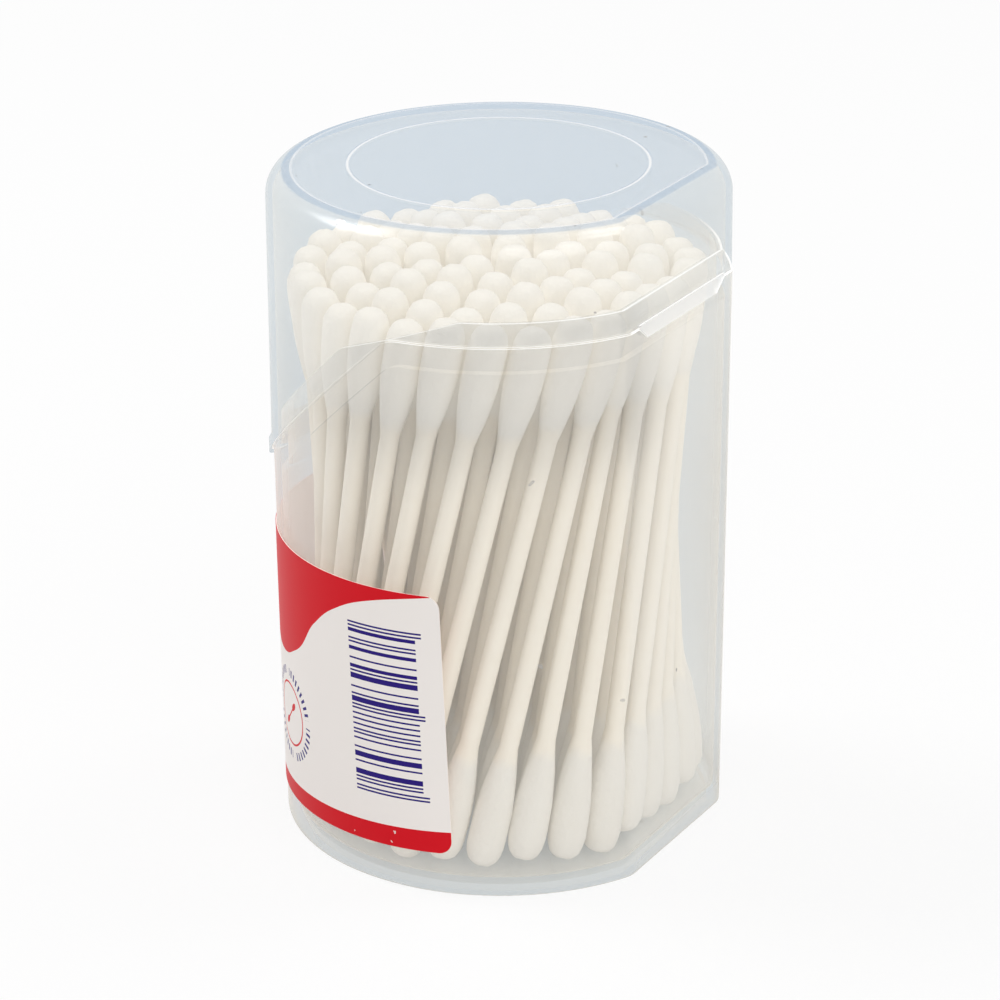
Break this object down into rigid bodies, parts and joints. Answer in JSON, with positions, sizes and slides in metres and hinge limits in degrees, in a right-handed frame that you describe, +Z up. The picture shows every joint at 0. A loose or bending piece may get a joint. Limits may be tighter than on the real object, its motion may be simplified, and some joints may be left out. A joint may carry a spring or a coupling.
{
  "type": "cotton swab tub",
  "caption": "Round translucent tub with one flat side, flip lid on a moulded hinge strip, wrap label and twisted bundle of paper cotton swabs.",
  "frame": {"origin": "middle of the footprint's bounding box, on the surface the tub stands on", "axes": "+Z up along the tub's axis, +Y towards the flat hinge side, -Y towards the lid's low front edge"},
  "size_m": [0.0598, 0.0575, 0.09],
  "materials": {
    "clear_plastic": "frosted translucent polypropylene",
    "lid_plastic": "frosted translucent polypropylene",
    "strip_plastic": "stress-whitened thin polypropylene",
    "label_paper": "coated white paper with red fields",
    "cotton_and_paper": "white cotton heads on cream paper sticks"
  },
  "bodies": {
    "tub": {"core_swabs_1": "cotton_and_paper", "core_swabs_2": "cotton_and_paper", "core_swabs_3": "cotton_and_paper", "hinge_strip": "strip_plastic", "label": "label_paper", "swab_01": "cotton_and_paper", "swab_02": "cotton_and_paper", "swab_03": "cotton_and_paper", "swab_04": "cotton_and_paper", "swab_05": "cotton_and_paper", "swab_06": "cotton_and_paper", "swab_07": "cotton_and_paper", "swab_08": "cotton_and_paper", "swab_09": "cotton_and_paper", "swab_10": "cotton_and_paper", "swab_11": "cotton_and_paper", "swab_12": "cotton_and_paper", "swab_13": "cotton_and_paper", "swab_14": "cotton_and_paper", "swab_15": "cotton_and_paper", "swab_16": "cotton_and_paper", "swab_17": "cotton_and_paper", "swab_18": "cotton_and_paper", "swab_19": "cotton_and_paper", "swab_20": "cotton_and_paper", "swab_21": "cotton_and_paper", "swab_22": "cotton_and_paper", "swab_23": "cotton_and_paper", "swab_24": "cotton_and_paper", "swab_25": "cotton_and_paper", "swab_26": "cotton_and_paper", "swab_27": "cotton_and_paper", "swab_28": "cotton_and_paper", "swab_29": "cotton_and_paper", "swab_30": "cotton_and_paper", "swab_31": "cotton_and_paper", "swab_32": "cotton_and_paper", "swab_33": "cotton_and_paper", "swab_34": "cotton_and_paper", "swab_35": "cotton_and_paper", "swab_36": "cotton_and_paper", "swab_37": "cotton_and_paper", "swab_38": "cotton_and_paper", "swab_39": "cotton_and_paper", "swab_40": "cotton_and_paper", "swab_41": "cotton_and_paper", "swab_42": "cotton_and_paper", "swab_43": "cotton_and_paper", "swab_44": "cotton_and_paper", "swab_45": "cotton_and_paper", "swab_46": "cotton_and_paper", "swab_47": "cotton_and_paper", "swab_48": "cotton_and_paper", "swab_49": "cotton_and_paper", "swab_50": "cotton_and_paper", "swab_51": "cotton_and_paper", "swab_52": "cotton_and_paper", "tub": "clear_plastic"},
    "lid": {"lid": "lid_plastic"}
  },
  "joints": [
    {"name": "lid_hinge", "type": "hinge", "parent": "tub", "child": "lid", "pos_m": [0, 0.02875, 0.07505], "axis": [-1, 0, 0], "range_deg": [0, 170], "deforming": ["hinge_strip"]}
  ]
}
